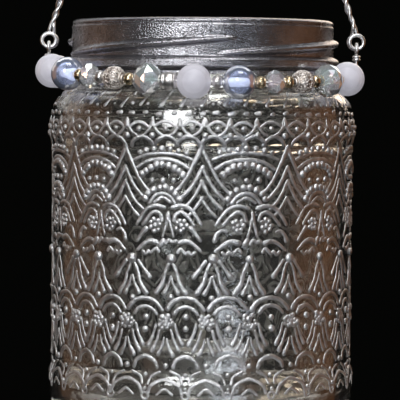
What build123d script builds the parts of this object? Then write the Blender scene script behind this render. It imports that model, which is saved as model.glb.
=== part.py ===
from build123d import *
from math import acos, asin, cos, degrees, radians, sin, tan
import os

# Mason jar lantern. The origin is the middle of the jar's base, on the surface it stands on.
# +Z is up and the front of the bead strand faces -Y. All sizes are in millimetres.

# Jar
HEIGHT = 119.0
PANEL_R = 44.9  # label panel
HEEL_R = 45.6
SHOULDER_R = 45.8  # raised ring above the panel
NECK_R = 39.1
MOUTH_R = 36.1
WALL = 2.9
FLOOR_Z = 6.0
PUSH_UP = 1.6  # height of the hollow under the base
FOOT_R = (31.5, 37.0)  # the flat ring that the jar stands on
HEEL_TOP_Z = 14.6
PANEL_Z = (16.0, 82.0)
SHOULDER_Z = (90.5, 101.0)
RING_R = 40.8  # transfer ring under the threads
RING_Z = (104.9, 107.3)
LIP_Z = 117.6

# Thread lugs
LUGS = 4
LUG_START = 7.0  # azimuth of the first lug's low end, degrees from the front
LUG_ARC = 97.0
LUG_Z = 108.7
LUG_LEAD = 17.0
LUG_H = 2.0  # how far a lug stands out of the neck
LUG_HALF_WIDTH = 1.25
LUG_SECTIONS = 9
LUG_END_H = 0.1

# Bead strand: each half is a circular arc in a plane that dips away from the handle
STRAND_R = 46.2
STRAND_Z = 103.9
DIP = 3.2  # how much lower the strand is in the middle than at the handle
LEAN = 0.8  # how much higher its left end is than the middle of its plane
WIRE_R = 0.4
BEND_R = 2.5
BEAD_GAP = 0.2
CENTRE_AZIMUTH = -3.0  # of the middle bead
# kind: diameter, length along the wire, hole radius, form
BEADS = {
    "frosted_bead": (10.0, 9.8, 0.75, "round"),
    "opalite_bead": (9.8, 9.4, 0.75, "round"),
    "large_crystal": (9.6, 8.2, 0.75, "faceted"),
    "small_crystal": (7.3, 5.6, 0.6, "faceted"),
    "filigree_bead": (7.4, 6.6, 0.65, "round"),
    "silver_barrel": (5.0, 4.0, 0.55, "drum"),
    "silver_spacer": (3.8, 2.9, 0.5, "drum"),
    "gold_spacer": (3.6, 3.0, 0.5, "drum"),
}
LEFT_TO_RIGHT = [
    "gold_spacer", "frosted_bead", "gold_spacer", "opalite_bead", "gold_spacer", "small_crystal",
    "silver_spacer", "filigree_bead", "gold_spacer", "large_crystal", "silver_barrel",
    "frosted_bead",
    "silver_spacer", "opalite_bead", "gold_spacer", "small_crystal", "gold_spacer", "filigree_bead",
    "gold_spacer", "large_crystal", "gold_spacer", "frosted_bead", "gold_spacer",
]
FACETS = 12
FACET_END = 0.42  # a crystal's end radius, as a share of its widest
FACET_BELT = 0.10  # half of its belt, as a share of its length

# Eyes of the strand, and the handle that hangs in them
EYE_Z = 111.0
EYE_R = 1.5
EYE_WIRE_R = 0.45  # the eyes are flattened a little wider than the wire
WRAP_Z = (107.8, 108.63)
WRAP_GAP = 0.06
HANDLE_WIRE_R = 0.5
HANDLE_RING_R = 2.1
RING_WIRE_R = 0.55
HANDLE_LEAN = 17.0  # of its legs, inwards, degrees from upright
HANDLE_TOP_R = 20.0
STRAND_SPACING = 1.04  # between the two wires of the handle

# Tealight
TEALIGHT_R = 19.0
CUP_H = 15.5
CUP_WALL = 0.4
CUP_LIFT = 0.02
WAX_H = 12.5
WICK_R = 0.9
WICK_ABOVE = 8.0
TAB_R = 5.0
TAB_T = 0.4
TAB_NECK = (1.6, 3.5)  # outer radius and height of the tube that grips the wick

os.makedirs("parts", exist_ok=True)
volumes = {}


def write(piece, name):
    """Labels a finished piece and writes it as its own STEP file."""
    piece.part.label = name
    export_step(piece.part, f"parts/{name}.step")
    volumes[name] = piece.part.volume


def around(azimuth, radius, z):
    """The point at an azimuth from the front (-Y), positive towards +X."""
    a = radians(azimuth)
    return Vector(radius * sin(a), -radius * cos(a), z)


def lug(start):
    """One thread lug: an ellipse carried round the neck as it climbs, fading out at both ends."""
    with BuildPart() as ridge:
        for i in range(LUG_SECTIONS):
            share = i / (LUG_SECTIONS - 1)
            azimuth = start + share * LUG_ARC
            swell = sin(radians(180 * share)) ** 0.5 if 0 < share < 1 else 0
            height = LUG_END_H + (LUG_H - LUG_END_H) * swell
            centre = around(azimuth, NECK_R - 0.2, LUG_Z + LUG_LEAD * share * LUG_ARC / 360)
            outward = around(azimuth, 1, 0)
            with BuildSketch(Plane(centre, x_dir=outward, z_dir=outward.cross(Vector(0, 0, 1)))):
                Ellipse(height + 0.2, LUG_HALF_WIDTH * (0.35 + 0.65 * swell))
        loft()
    return ridge.part


lugs = [lug(LUG_START + 360 * k / LUGS) for k in range(LUGS)]
with BuildPart() as jar:
    with BuildSketch(Plane.XZ):
        with BuildLine():
            under = Line((0, PUSH_UP), (FOOT_R[0] - 1, PUSH_UP))
            step = Line(under @ 1, (FOOT_R[0], 0))
            foot = Line(step @ 1, (FOOT_R[1], 0))
            heel = TangentArc(foot @ 1, (HEEL_R, HEEL_R - FOOT_R[1]), tangent=(1, 0))
            band = Line(heel @ 1, (HEEL_R, HEEL_TOP_Z))
            to_panel = Line(band @ 1, (PANEL_R, PANEL_Z[0]))
            panel = Line(to_panel @ 1, (PANEL_R, PANEL_Z[1]))
            ring = ThreePointArc(panel @ 1, (SHOULDER_R, 86.5), (45.3, SHOULDER_Z[0]))
            shoulder = ThreePointArc(ring @ 1, (44.0, 94.7), (41.3, 98.0))
            throat = ThreePointArc(shoulder @ 1, (39.8, 99.3), (NECK_R, SHOULDER_Z[1]))
            collar = Line(throat @ 1, (NECK_R, RING_Z[0] - 0.8))
            ring_low = Line(collar @ 1, (RING_R, RING_Z[0]))
            ring_side = Line(ring_low @ 1, (RING_R, RING_Z[1]))
            ring_top = Line(ring_side @ 1, (NECK_R, RING_Z[1] + 0.8))
            neck = Line(ring_top @ 1, (NECK_R, LIP_Z - 0.3))
            groove = Line(neck @ 1, (NECK_R - 0.35, LIP_Z))
            lip_side = ThreePointArc(groove @ 1, (NECK_R - 0.3, HEIGHT - 0.35), (NECK_R - 1.0, HEIGHT))
            lip_top = Line(lip_side @ 1, (MOUTH_R + 0.9, HEIGHT))
            lip_in = ThreePointArc(lip_top @ 1, (MOUTH_R + 0.26, HEIGHT - 0.26), (MOUTH_R, HEIGHT - 0.9))
            mouth = Line(lip_in @ 1, (MOUTH_R, SHOULDER_Z[1]))
            throat_in = ThreePointArc(mouth @ 1, (37.6, 97.8), (40.0, 95.6))
            shoulder_in = ThreePointArc(throat_in @ 1, (41.6, 93.4), (42.4, 89.5))
            wall_in = Line(shoulder_in @ 1, (PANEL_R - WALL, FLOOR_Z + 7))
            corner = ThreePointArc(wall_in @ 1, (40.0, FLOOR_Z + 1.9), (35.0, FLOOR_Z))
            floor = Line(corner @ 1, (0, FLOOR_Z))
            axis_line = Line(floor @ 1, under @ 0)
        make_face()
    revolve(axis=Axis.Z)
    add(lugs)
write(jar, "jar")


# The plane of the strand's front half: its X runs to the front, its Y to the right
FRONT_PLANE = Plane(
    origin=(0, 0, STRAND_Z),
    x_dir=(0, -1, -DIP / STRAND_R),
    z_dir=(LEAN / STRAND_R, -DIP / STRAND_R, 1),
)


def station(azimuth):
    """The point and the direction of the front wire at an azimuth from the front."""
    a = radians(azimuth)
    point = FRONT_PLANE.from_local_coords(Vector(STRAND_R * cos(a), STRAND_R * sin(a), 0))
    ahead = FRONT_PLANE.x_dir * -sin(a) + FRONT_PLANE.y_dir * cos(a)
    return point, ahead


def strand_end(beyond):
    """The azimuth where a wire starts to bend up, for a stem that stands `beyond` in front of the eyes."""
    return 90 - degrees(asin((BEND_R * (1 - DIP / STRAND_R) + beyond) / STRAND_R))


def round_bar(path, radius=WIRE_R):
    """A wire along one edge."""
    with BuildPart() as bar:
        with BuildSketch(Plane(origin=path @ 0, z_dir=path % 0)):
            Circle(radius)
        sweep(path=path)
    return bar.part


def strand_runs(beyond, stem_top):
    """The arc of a strand and its two upturned ends as edges, and the feet of the two stems."""
    end = strand_end(beyond)
    with BuildLine(FRONT_PLANE):
        arc = CenterArc((0, 0), STRAND_R, -end, 2 * end)
    runs = [arc]
    feet = []
    for side in (-1, 1):
        point, ahead = station(side * end)
        out = ahead * side
        level = Vector(out.X, out.Y, 0).normalized()
        climb = degrees(asin(out.Z))
        with BuildLine(Plane(point, x_dir=level, z_dir=level.cross(Vector(0, 0, 1)))):
            bend = JernArc((0, 0), (cos(radians(climb)), sin(radians(climb))), BEND_R, 90 - climb)
        foot = bend @ 1
        stem = Edge.make_line(foot, Vector(foot.X, foot.Y, stem_top))
        runs += [bend, stem]
        feet.append(foot)
    return runs, feet


front_runs, front_feet = strand_runs(0, EYE_Z - EYE_R)
front_bars = [round_bar(run) for run in front_runs]
with BuildPart() as front_wire:
    add(front_bars)
    for foot in front_feet:
        with Locations(Location(Plane(origin=(foot.X, 0, EYE_Z), z_dir=(1, 0, 0)))):
            Torus(EYE_R, EYE_WIRE_R)
write(front_wire, "front_wire")

# The back half is the front half's mirror image, so it is made in front and mirrored
wrap_r = 2 * WIRE_R + WRAP_GAP
back_runs, _ = strand_runs(wrap_r + WRAP_GAP, WRAP_Z[1])
back_bars = [round_bar(run) for run in back_runs]
with BuildPart() as back_in_front:
    add(back_bars)
    for foot in front_feet:
        for z in WRAP_Z:
            with Locations((foot.X, -foot.Y, z)):
                Torus(wrap_r, WIRE_R)
with BuildPart() as back_wire:
    mirror(back_in_front.part, about=Plane.XZ)
write(back_wire, "back_wire")


def crystal(kind, azimuth):
    """A faceted bead about the wire: a belt and two tapers, with a hole along the wire."""
    diameter, length, hole_r, _ = BEADS[kind]
    centre, ahead = station(azimuth)
    across = Plane(centre, x_dir=FRONT_PLANE.z_dir, z_dir=ahead)
    belt = FACET_BELT * length
    ends = ((-length / 2, FACET_END), (-belt, 1), (belt, 1), (length / 2, FACET_END))
    with BuildPart() as bead:
        for offset_along, share in ends:
            with BuildSketch(across.offset(offset_along)):
                RegularPolygon(share * diameter / 2, FACETS)
        loft(ruled=True)
        with BuildSketch(across.offset(-length)):
            Circle(hole_r)
        extrude(amount=2 * length, mode=Mode.SUBTRACT)
    return bead


def turned_bead(kind, azimuth):
    """A round or drum-shaped bead about the wire, with a hole along the wire."""
    diameter, length, hole_r, form = BEADS[kind]
    centre, ahead = station(azimuth)
    with BuildPart() as bead:
        with BuildSketch(Plane(centre, x_dir=ahead, z_dir=FRONT_PLANE.z_dir)):
            if form == "round":
                Ellipse(length / 2, diameter / 2)
            else:
                RectangleRounded(length, diameter, radius=0.3 * length)
            with Locations((0, hole_r)):
                Rectangle(2 * length, diameter, align=(Align.CENTER, Align.MAX), mode=Mode.SUBTRACT)
        revolve(axis=Axis(centre, ahead))
    return bead


def step_between(left, right):
    """The angle along the strand between two neighbouring beads' middles."""
    apart = (BEADS[left][1] + BEADS[right][1]) / 2 + BEAD_GAP
    return degrees(apart / STRAND_R)


middle = len(LEFT_TO_RIGHT) // 2
azimuths = [CENTRE_AZIMUTH]
for i in range(middle, 0, -1):
    azimuths.insert(0, azimuths[0] - step_between(LEFT_TO_RIGHT[i - 1], LEFT_TO_RIGHT[i]))
for i in range(middle, len(LEFT_TO_RIGHT) - 1):
    azimuths.append(azimuths[-1] + step_between(LEFT_TO_RIGHT[i], LEFT_TO_RIGHT[i + 1]))

counts = {}
for kind, azimuth in zip(LEFT_TO_RIGHT, azimuths):
    counts[kind] = counts.get(kind, 0) + 1
    make_bead = crystal if BEADS[kind][3] == "faceted" else turned_bead
    front_bead = make_bead(kind, azimuth)
    write(front_bead, f"front_{kind}_{counts[kind]}")
    with BuildPart() as back_bead:
        mirror(front_bead.part, about=Plane.XZ)
    write(back_bead, f"back_{kind}_{counts[kind]}")


def handle_wire(inset, leg_foot):
    """A wire of the handle: two leaning legs and a round top, `inset` inside the outer wire."""
    lean = radians(HANDLE_LEAN)
    top_r = HANDLE_TOP_R - inset
    foot_x = front_feet[1].X - inset * cos(lean)
    foot_z = EYE_Z + 2 * HANDLE_RING_R - inset * sin(lean)
    start = (foot_x - leg_foot * sin(lean), foot_z + leg_foot * cos(lean))
    leg_top_x = top_r * cos(lean)
    leg_top_z = foot_z + (foot_x - leg_top_x) / tan(lean)
    with BuildLine(Plane.XZ):
        right_leg = Line(start, (leg_top_x, leg_top_z))
        top = CenterArc((0, leg_top_z - top_r * sin(lean)), top_r, HANDLE_LEAN, 180 - 2 * HANDLE_LEAN)
        left_leg = Line((-leg_top_x, leg_top_z), (-start[0], start[1]))
    return [round_bar(run, HANDLE_WIRE_R) for run in (right_leg, top, left_leg)]


# The outer wire ends in a ring through each eye, and the inner one stops just above the rings
outer_bars = handle_wire(0, 0)
with BuildPart() as outer_handle_wire:
    add(outer_bars)
    for foot in front_feet:
        with Locations(Location(Plane(origin=(foot.X, 0, EYE_Z + HANDLE_RING_R), z_dir=(0, 1, 0)))):
            Torus(HANDLE_RING_R, RING_WIRE_R)
write(outer_handle_wire, "outer_handle_wire")
inner_bars = handle_wire(STRAND_SPACING, 3 * HANDLE_WIRE_R)
with BuildPart() as inner_handle_wire:
    add(inner_bars)
write(inner_handle_wire, "inner_handle_wire")

# Tealight, bottom up: the cup, the wick's tab, the wick, and the wax poured round them
cup_z = FLOOR_Z + CUP_LIFT
cup_floor = cup_z + CUP_WALL
with BuildPart() as tealight_cup:
    with BuildSketch(Plane.XY.offset(cup_z)):
        Circle(TEALIGHT_R)
    extrude(amount=CUP_H)
    with BuildSketch(Plane.XY.offset(cup_floor)):
        Circle(TEALIGHT_R - CUP_WALL)
    extrude(amount=CUP_H, mode=Mode.SUBTRACT)
write(tealight_cup, "tealight_cup")

with BuildPart() as wick_tab:
    with BuildSketch(Plane.XY.offset(cup_floor)):
        Circle(TAB_R)
    extrude(amount=TAB_T)
    with BuildSketch(Plane.XY.offset(cup_floor)):
        Circle(TAB_NECK[0])
    extrude(amount=TAB_NECK[1])
    with BuildSketch(Plane.XY.offset(cup_floor + TAB_T)):
        Circle(WICK_R)
    extrude(amount=TAB_NECK[1], mode=Mode.SUBTRACT)
write(wick_tab, "wick_tab")

with BuildPart() as wick:
    with BuildSketch(Plane.XY.offset(cup_floor + TAB_T)):
        Circle(WICK_R)
    extrude(amount=WAX_H - TAB_T + WICK_ABOVE)
write(wick, "wick")

with BuildPart() as wax:
    with BuildSketch(Plane.XY.offset(cup_floor)):
        Circle(TEALIGHT_R - CUP_WALL)
    extrude(amount=WAX_H)
    add(wick_tab.part, mode=Mode.SUBTRACT)
    add(wick.part, mode=Mode.SUBTRACT)
write(wax, "tealight_wax")

print("strand from", round(azimuths[0], 1), "to", round(azimuths[-1], 1), "wire bends at", round(strand_end(0), 1))
print("eyes at x", [round(foot.X, 3) for foot in front_feet], "y", [round(foot.Y, 3) for foot in front_feet])
print(len(volumes), "pieces;", {n: round(v) for n, v in volumes.items() if "wire" in n or n == "jar"})
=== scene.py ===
import random
from math import acos, atan2, copysign, cos, degrees, dist, hypot, pi, radians, sin, sqrt, tan, tau

import bpy
import numpy as np
from mathutils import Matrix, Vector, noise


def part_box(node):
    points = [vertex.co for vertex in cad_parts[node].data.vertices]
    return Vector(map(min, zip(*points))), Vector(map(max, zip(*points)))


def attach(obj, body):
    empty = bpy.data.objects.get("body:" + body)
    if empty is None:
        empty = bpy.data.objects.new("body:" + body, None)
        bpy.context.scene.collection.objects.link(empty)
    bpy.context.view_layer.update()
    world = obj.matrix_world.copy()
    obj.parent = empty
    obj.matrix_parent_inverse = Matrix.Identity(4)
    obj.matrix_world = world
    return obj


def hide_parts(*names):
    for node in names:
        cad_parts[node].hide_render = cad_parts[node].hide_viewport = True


# A painted glass jar hung from a twisted wire, with a strand of beads round its neck.
# Lengths in the tables are millimetres and are scaled by MM as each mesh is made.
MM = 0.001

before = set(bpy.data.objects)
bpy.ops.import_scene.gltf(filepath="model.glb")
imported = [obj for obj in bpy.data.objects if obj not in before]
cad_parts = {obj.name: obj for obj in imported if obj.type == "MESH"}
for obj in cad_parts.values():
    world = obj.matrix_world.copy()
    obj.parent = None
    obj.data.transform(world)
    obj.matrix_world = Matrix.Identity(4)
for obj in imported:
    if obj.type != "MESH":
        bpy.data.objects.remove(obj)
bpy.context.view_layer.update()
dice = random.Random(11)

# ---- jar, as in the CAD model
HEIGHT = 119.0
PANEL_R = 44.9
HEEL_R = 45.6
NECK_R = 39.1
NECK_Z = 101.0
MOUTH_R = 36.1
WALL = 2.9
FLOOR_Z = 6.0
FOOT_R = (31.5, 37.0)
RING_R = 40.8
RING_Z = (104.9, 107.3)
LIP_Z = 117.6
LUGS = 4
LUG_START = 7.0
LUG_ARC = 97.0
LUG_Z = 108.7
LUG_LEAD = 17.0
LUG_H = 2.0
LUG_HALF_WIDTH = 1.25

JAR_SEGMENTS = 224
SKIN_SEGMENTS = 360


def through(a, b, c, steps):
    """Points of the circular arc from a through b to c, without its first point."""
    (ax, ay), (bx, by), (cx, cy) = a, b, c
    d = 2 * (ax * (by - cy) + bx * (cy - ay) + cx * (ay - by))
    sa, sb, sc = ax * ax + ay * ay, bx * bx + by * by, cx * cx + cy * cy
    ox = (sa * (by - cy) + sb * (cy - ay) + sc * (ay - by)) / d
    oy = (sa * (cx - bx) + sb * (ax - cx) + sc * (bx - ax)) / d
    start, mid, end = (atan2(y - oy, x - ox) for x, y in (a, b, c))
    sweep = (end - start) % tau
    if (mid - start) % tau >= sweep:
        sweep -= tau
    radius = hypot(ax - ox, ay - oy)
    angles = [start + sweep * i / steps for i in range(1, steps + 1)]
    return [(ox + radius * cos(t), oy + radius * sin(t)) for t in angles]


def straight(a, b, step):
    """Points of the line from a to b, without its first point."""
    (ax, ay), (bx, by) = a, b
    count = max(1, round(dist(a, b) / step))
    return [(ax + (bx - ax) * i / count, ay + (by - ay) * i / count) for i in range(1, count + 1)]


def traced(start, *moves):
    """An outline. A move is a line's end and its step, or an arc's midpoint, end and number of steps."""
    points = [start]
    for move in moves:
        points += (straight if len(move) == 2 else through)(points[-1], *move)
    return points


def wall_outline():
    """The outside of the jar from its foot ring up to the neck."""
    heel_r = HEEL_R - FOOT_R[1]
    slant = sqrt(0.5)
    return traced(
        (FOOT_R[1], 0.0),
        ((FOOT_R[1] + heel_r * slant, heel_r * (1 - slant)), (HEEL_R, heel_r), 14),
        ((HEEL_R, 14.4), 2.5),
        ((HEEL_R - 0.3, 15.3), (PANEL_R, 16.2), 5),
        ((PANEL_R, 82.0), 2.5),
        ((45.8, 86.5), (45.3, 90.5), 12),
        ((44.0, 94.7), (41.3, 98.0), 14),
        ((39.8, 99.3), (NECK_R, NECK_Z), 10),
    )


def neck_outline():
    """The outside of the neck, over the transfer ring and the lip to the lip's inner edge."""
    return traced(
        (NECK_R, NECK_Z),
        ((NECK_R, RING_Z[0] - 0.8), 0.5),
        ((NECK_R + 1.0, RING_Z[0] - 0.45), (RING_R, RING_Z[0] + 0.3), 6),
        ((RING_R, RING_Z[1] - 0.3), 0.4),
        ((NECK_R + 1.0, RING_Z[1] + 0.45), (NECK_R, RING_Z[1] + 0.9), 6),
        ((NECK_R, LIP_Z - 0.4), 0.3),
        ((NECK_R - 0.3, LIP_Z), (NECK_R - 0.1, LIP_Z + 0.35), 5),
        ((NECK_R - 0.3, HEIGHT - 0.35), (NECK_R - 1.0, HEIGHT), 6),
        ((MOUTH_R + 0.9, HEIGHT), 0.4),
    )


def inner_outline():
    """The inside of the jar from its lip to the middle of its floor."""
    return traced(
        (MOUTH_R + 0.9, HEIGHT),
        ((MOUTH_R + 0.26, HEIGHT - 0.26), (MOUTH_R, HEIGHT - 0.9), 6),
        ((MOUTH_R, NECK_Z), 2.5),
        ((37.6, 97.8), (40.0, 95.6), 8),
        ((41.6, 93.4), (42.4, 89.5), 8),
        ((PANEL_R - WALL, FLOOR_Z + 7), 2.5),
        ((40.0, FLOOR_Z + 1.9), (35.0, FLOOR_Z), 12),
        ((0.0, FLOOR_Z), 4),
    )


# ---- mesh helpers
def piece(name, points_and_faces, material, smooth=True):
    """A new object from points in millimetres and faces."""
    verts, faces = points_and_faces
    mesh = bpy.data.meshes.new(name)
    mesh.from_pydata([tuple(v) for v in np.asarray(verts) * MM], [], faces)
    mesh.validate()
    mesh.polygons.foreach_set("use_smooth", [smooth] * len(mesh.polygons))
    mesh.materials.append(material)
    obj = bpy.data.objects.new(name, mesh)
    bpy.context.scene.collection.objects.link(obj)
    return obj


def place(obj, body, slot, *nodes):
    """Says which body a piece rides on and which CAD nodes it stands in for. slot, what it is made of, is not
    used.
    """
    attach(obj, body)
    if nodes:
        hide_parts(*nodes)


def band(low, high, sides):
    """Faces between two rings of vertices that begin at low and high."""
    return [[low + j, low + (j + 1) % sides, high + (j + 1) % sides, high + j] for j in range(sides)]


def turned(outline, segments, shape=None):
    """An outline of (r, z) turned about Z. shape(azimuth, r, z) may move a point. Ends on the axis close."""
    verts, rows = [], []
    for r, z in outline:
        if r < 1e-6:
            rows.append([len(verts)] * segments)
            verts.append((0, 0, z))
            continue
        row = []
        for s in range(segments):
            a = tau * s / segments
            rr, zz = shape(a, r, z) if shape else (r, z)
            row.append(len(verts))
            verts.append((rr * sin(a), -rr * cos(a), zz))
        rows.append(row)
    faces = []
    for low, high in zip(rows, rows[1:]):
        for s in range(segments):
            t = (s + 1) % segments
            corners = [low[s], low[t], high[t], high[s]]
            corners = [c for i, c in enumerate(corners) if c != corners[i - 1]]
            if len(corners) > 2:
                faces.append(corners)
    return np.array(verts), faces


def smooth_path(points, step):
    """Catmull-Rom points through the given ones, about step apart."""
    pts = np.asarray(points, float)
    if len(pts) == 2:
        count = max(2, int(np.linalg.norm(pts[1] - pts[0]) / step) + 1)
        share = np.linspace(0, 1, count)[:, None]
        return pts[0] * (1 - share) + pts[1] * share
    ext = np.vstack([2 * pts[0] - pts[1], pts, 2 * pts[-1] - pts[-2]])
    out = []
    for i in range(1, len(ext) - 2):
        p0, p1, p2, p3 = ext[i - 1 : i + 3]
        count = max(2, int(np.linalg.norm(p2 - p1) / step) + 1)
        t = np.linspace(0, 1, count, endpoint=False)[:, None]
        squared = 2 * p0 - 5 * p1 + 4 * p2 - p3
        cubed = 3 * p1 - p0 - 3 * p2 + p3
        out.append(0.5 * (2 * p1 + (p2 - p0) * t + squared * t**2 + cubed * t**3))
    return np.vstack(out + [ext[-2][None]])


def unit(vectors):
    """A vector, or each row of them, at length 1."""
    return vectors / np.linalg.norm(vectors, axis=-1, keepdims=True)


def tube(path, radius, sides, closed=False, up=(0, 0, 1)):
    """A round tube along 3-D points, with eased ends unless closed."""
    pts = np.asarray(path, float)
    radii = np.full(len(pts), float(radius))
    if closed:
        ahead = unit(np.roll(pts, -1, 0) - np.roll(pts, 1, 0))
    else:
        first = pts[0] + unit(pts[0] - pts[1]) * radius * 0.5
        last = pts[-1] + unit(pts[-1] - pts[-2]) * radius * 0.5
        pts = np.vstack([first, pts, last])
        radii = np.concatenate([[radius * 0.55], radii, [radius * 0.55]])
        ahead = unit(np.gradient(pts, axis=0))
    across = np.cross(ahead[0], up)
    if np.linalg.norm(across) < 1e-3:
        across = np.cross(ahead[0], (1, 0, 0))
    side = []
    for way in ahead:
        across = unit(across - way * across.dot(way))
        side.append(across)
    side = np.array(side)
    over = np.cross(ahead, side)
    angle = tau * np.arange(sides) / sides
    ring = side[:, None] * np.cos(angle)[None, :, None] + over[:, None] * np.sin(angle)[None, :, None]
    verts = (pts[:, None] + ring * radii[:, None, None]).reshape(-1, 3)
    faces = []
    rings = len(pts)
    for i in range(rings if closed else rings - 1):
        faces += band(i * sides, (i + 1) % rings * sides, sides)
    if not closed:
        faces.append(list(range(sides))[::-1])
        faces.append([(rings - 1) * sides + j for j in range(sides)])
    return verts, faces


class Heap:
    """Gathers many small meshes into one."""

    def __init__(self):
        self.verts, self.faces, self.size = [], [], 0

    def add(self, verts, faces):
        self.verts.append(np.asarray(verts, float))
        self.faces += [[i + self.size for i in f] for f in faces]
        self.size += len(verts)

    def mesh(self):
        return np.vstack(self.verts), self.faces


# ---- materials
def new_material(name, colour, **constants):
    """A Principled material and the nodes to build on it. Constants are set on the shader's own sockets."""
    material = bpy.data.materials.new(name)
    material.use_nodes = True
    shader = material.node_tree.nodes["Principled BSDF"]
    shader.inputs["Base Color"].default_value = (*colour, 1)
    for key, value in constants.items():
        shader.inputs[key.replace("_", " ")].default_value = value
    return material, shader


def node(material, kind, links=None, **values):
    """A new node. links feed its inputs from sockets, values set its properties or inputs."""
    made = material.node_tree.nodes.new(kind)
    for key, value in values.items():
        name = key.replace("_", " ")
        if name in made.inputs:
            made.inputs[name].default_value = value
        else:
            setattr(made, key, value)
    for key, socket in (links or {}).items():
        material.node_tree.links.new(made.inputs[key], socket)
    return made


def link(material, source, target):
    material.node_tree.links.new(target, source)


def grain(material, scale, detail=4.0, roughness=0.6):
    """Noise fixed to the object, in cells about 1/scale metres across."""
    place_of = node(material, "ShaderNodeTexCoord")
    return node(
        material, "ShaderNodeTexNoise", {"Vector": place_of.outputs["Object"]},
        Scale=scale, Detail=detail, Roughness=roughness,
    )


def ramp(material, source, *stops):
    """A colour ramp. Each stop is a place and a colour."""
    made = node(material, "ShaderNodeValToRGB", {"Fac": source})
    elements = made.color_ramp.elements
    while len(elements) < len(stops):
        elements.new(0.5)
    for element, (where, colour) in zip(elements, stops):
        element.position = where
        element.color = (*colour, 1)
    return made


def grey(value):
    return (value, value, value)


def drive(material, shader, socket, texture, *stops):
    """Sends a texture through a colour ramp to one of the shader's sockets."""
    made = ramp(material, texture.outputs["Fac"], *stops)
    link(material, made.outputs["Color"], shader.inputs[socket])


def add_bump(material, shader, texture, distance, strength, socket="Normal"):
    height = {"Height": texture.outputs["Fac"]}
    bump = node(material, "ShaderNodeBump", height, Distance=distance, Strength=strength)
    link(material, bump.outputs["Normal"], shader.inputs[socket])


def clear_glass():
    """Slightly wavy glass, whose coat carries finer ripples of its own."""
    material, shader = new_material(
        "clear_glass", (0.895, 0.895, 0.86), Roughness=0.045, IOR=1.5, Transmission_Weight=0.98,
        Coat_Weight=1.0, Coat_Roughness=0.0,
    )
    add_bump(material, shader, grain(material, 70, 2.0, 0.5), 0.0014, 0.5)
    add_bump(material, shader, grain(material, 240, 3.0, 0.55), 0.0009, 0.6, "Coat Normal")
    return material


def neck_silver():
    """Pewter paint over the glass: brushed unevenly round the neck, with a sparkling grain."""
    material, shader = new_material("neck_silver", (0.5, 0.5, 0.52), Metallic=0.9)
    blotches = grain(material, 130, 5.0, 0.65)
    colour = ramp(
        material, blotches.outputs["Fac"],
        (0.3, (0.26, 0.25, 0.265)), (0.5, (0.365, 0.36, 0.385)), (0.72, (0.48, 0.475, 0.505)),
    )
    spots = grain(material, 2000, 2.0, 0.7)
    spark = ramp(material, spots.outputs["Fac"], (0.36, grey(0.3)), (0.5, grey(0.85)), (0.62, grey(1.0)))
    mixed = node(material, "ShaderNodeMix", data_type="RGBA", blend_type="MULTIPLY")
    mixed.inputs[0].default_value = 0.75
    link(material, colour.outputs["Color"], mixed.inputs[6])
    link(material, spark.outputs["Color"], mixed.inputs[7])
    link(material, mixed.outputs[2], shader.inputs["Base Color"])
    drive(material, shader, "Roughness", blotches, (0.25, grey(0.22)), (0.75, grey(0.29)))
    add_bump(material, shader, spots, 0.0002, 0.85)
    return material


def relief_silver():
    """Puffy pearl outliner paint."""
    material, shader = new_material(
        "relief_silver", (0.78, 0.78, 0.79), Metallic=0.93, Coat_Weight=0.15, Coat_Roughness=0.3,
    )
    cloud = grain(material, 420, 5.0, 0.7)
    drive(
        material, shader, "Base Color", cloud,
        (0.3, (0.44, 0.43, 0.43)), (0.5, (0.68, 0.68, 0.69)), (0.68, (0.92, 0.92, 0.94)),
    )
    drive(material, shader, "Roughness", cloud, (0.3, grey(0.3)), (0.7, grey(0.44)))
    add_bump(material, shader, grain(material, 1700, 3.0, 0.65), 0.0004, 0.7)
    return material


def clouded(name, base, texture, colours, glosses, bump, **constants):
    """A material whose one noise texture gives its colour, its roughness and a fine bump."""
    material, shader = new_material(name, base, **constants)
    cloud = grain(material, *texture)
    drive(material, shader, "Base Color", cloud, *colours)
    drive(material, shader, "Roughness", cloud, *glosses)
    add_bump(material, shader, cloud, *bump)
    return material


def plated(name, dark, light, roughness):
    """Bright plating with a darker tarnish in cloudy patches."""
    return clouded(
        name, light, (1100, 4.0, 0.6), ((0.32, dark), (0.55, light)),
        ((0.3, grey(roughness + 0.15)), (0.7, grey(roughness))), (0.00004, 0.5), Metallic=1.0,
    )


def matter(name, dark, light, smoothest, roughest, scale, bump, **constants):
    """A plain material with cloudy colour, uneven gloss and a fine bump."""
    return clouded(
        name, light, (scale, 4.0, 0.6), ((0.3, dark), (0.7, light)),
        ((0.3, grey(smoothest)), (0.7, grey(roughest))), (bump, 0.6), **constants,
    )


def frosted():
    """Etched glass. Its faint emission stands for the light that such glass carries inside."""
    material, shader = new_material(
        "frosted_bead", (0.56, 0.555, 0.60), Subsurface_Weight=1.0, Subsurface_Scale=0.006, IOR=1.45,
        Transmission_Weight=0.2, Emission_Strength=0.26,
    )
    shader.inputs["Emission Color"].default_value = (0.9, 0.89, 1.0, 1)
    shader.inputs["Subsurface Radius"].default_value = (1.0, 1.0, 1.1)
    cloud = grain(material, 260, 3.0, 0.5)
    drive(material, shader, "Base Color", cloud, (0.3, (0.36, 0.35, 0.38)), (0.7, (0.46, 0.45, 0.48)))
    drive(material, shader, "Roughness", cloud, (0.3, grey(0.4)), (0.7, grey(0.56)))
    add_bump(material, shader, grain(material, 3000, 2.0, 0.6), 0.00006, 0.5)
    return material


def opalite():
    """Milky blue glass."""
    return new_material("opalite_bead", (0.64, 0.73, 1.0), Roughness=0.02, IOR=1.45, Transmission_Weight=0.8)[0]


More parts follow.
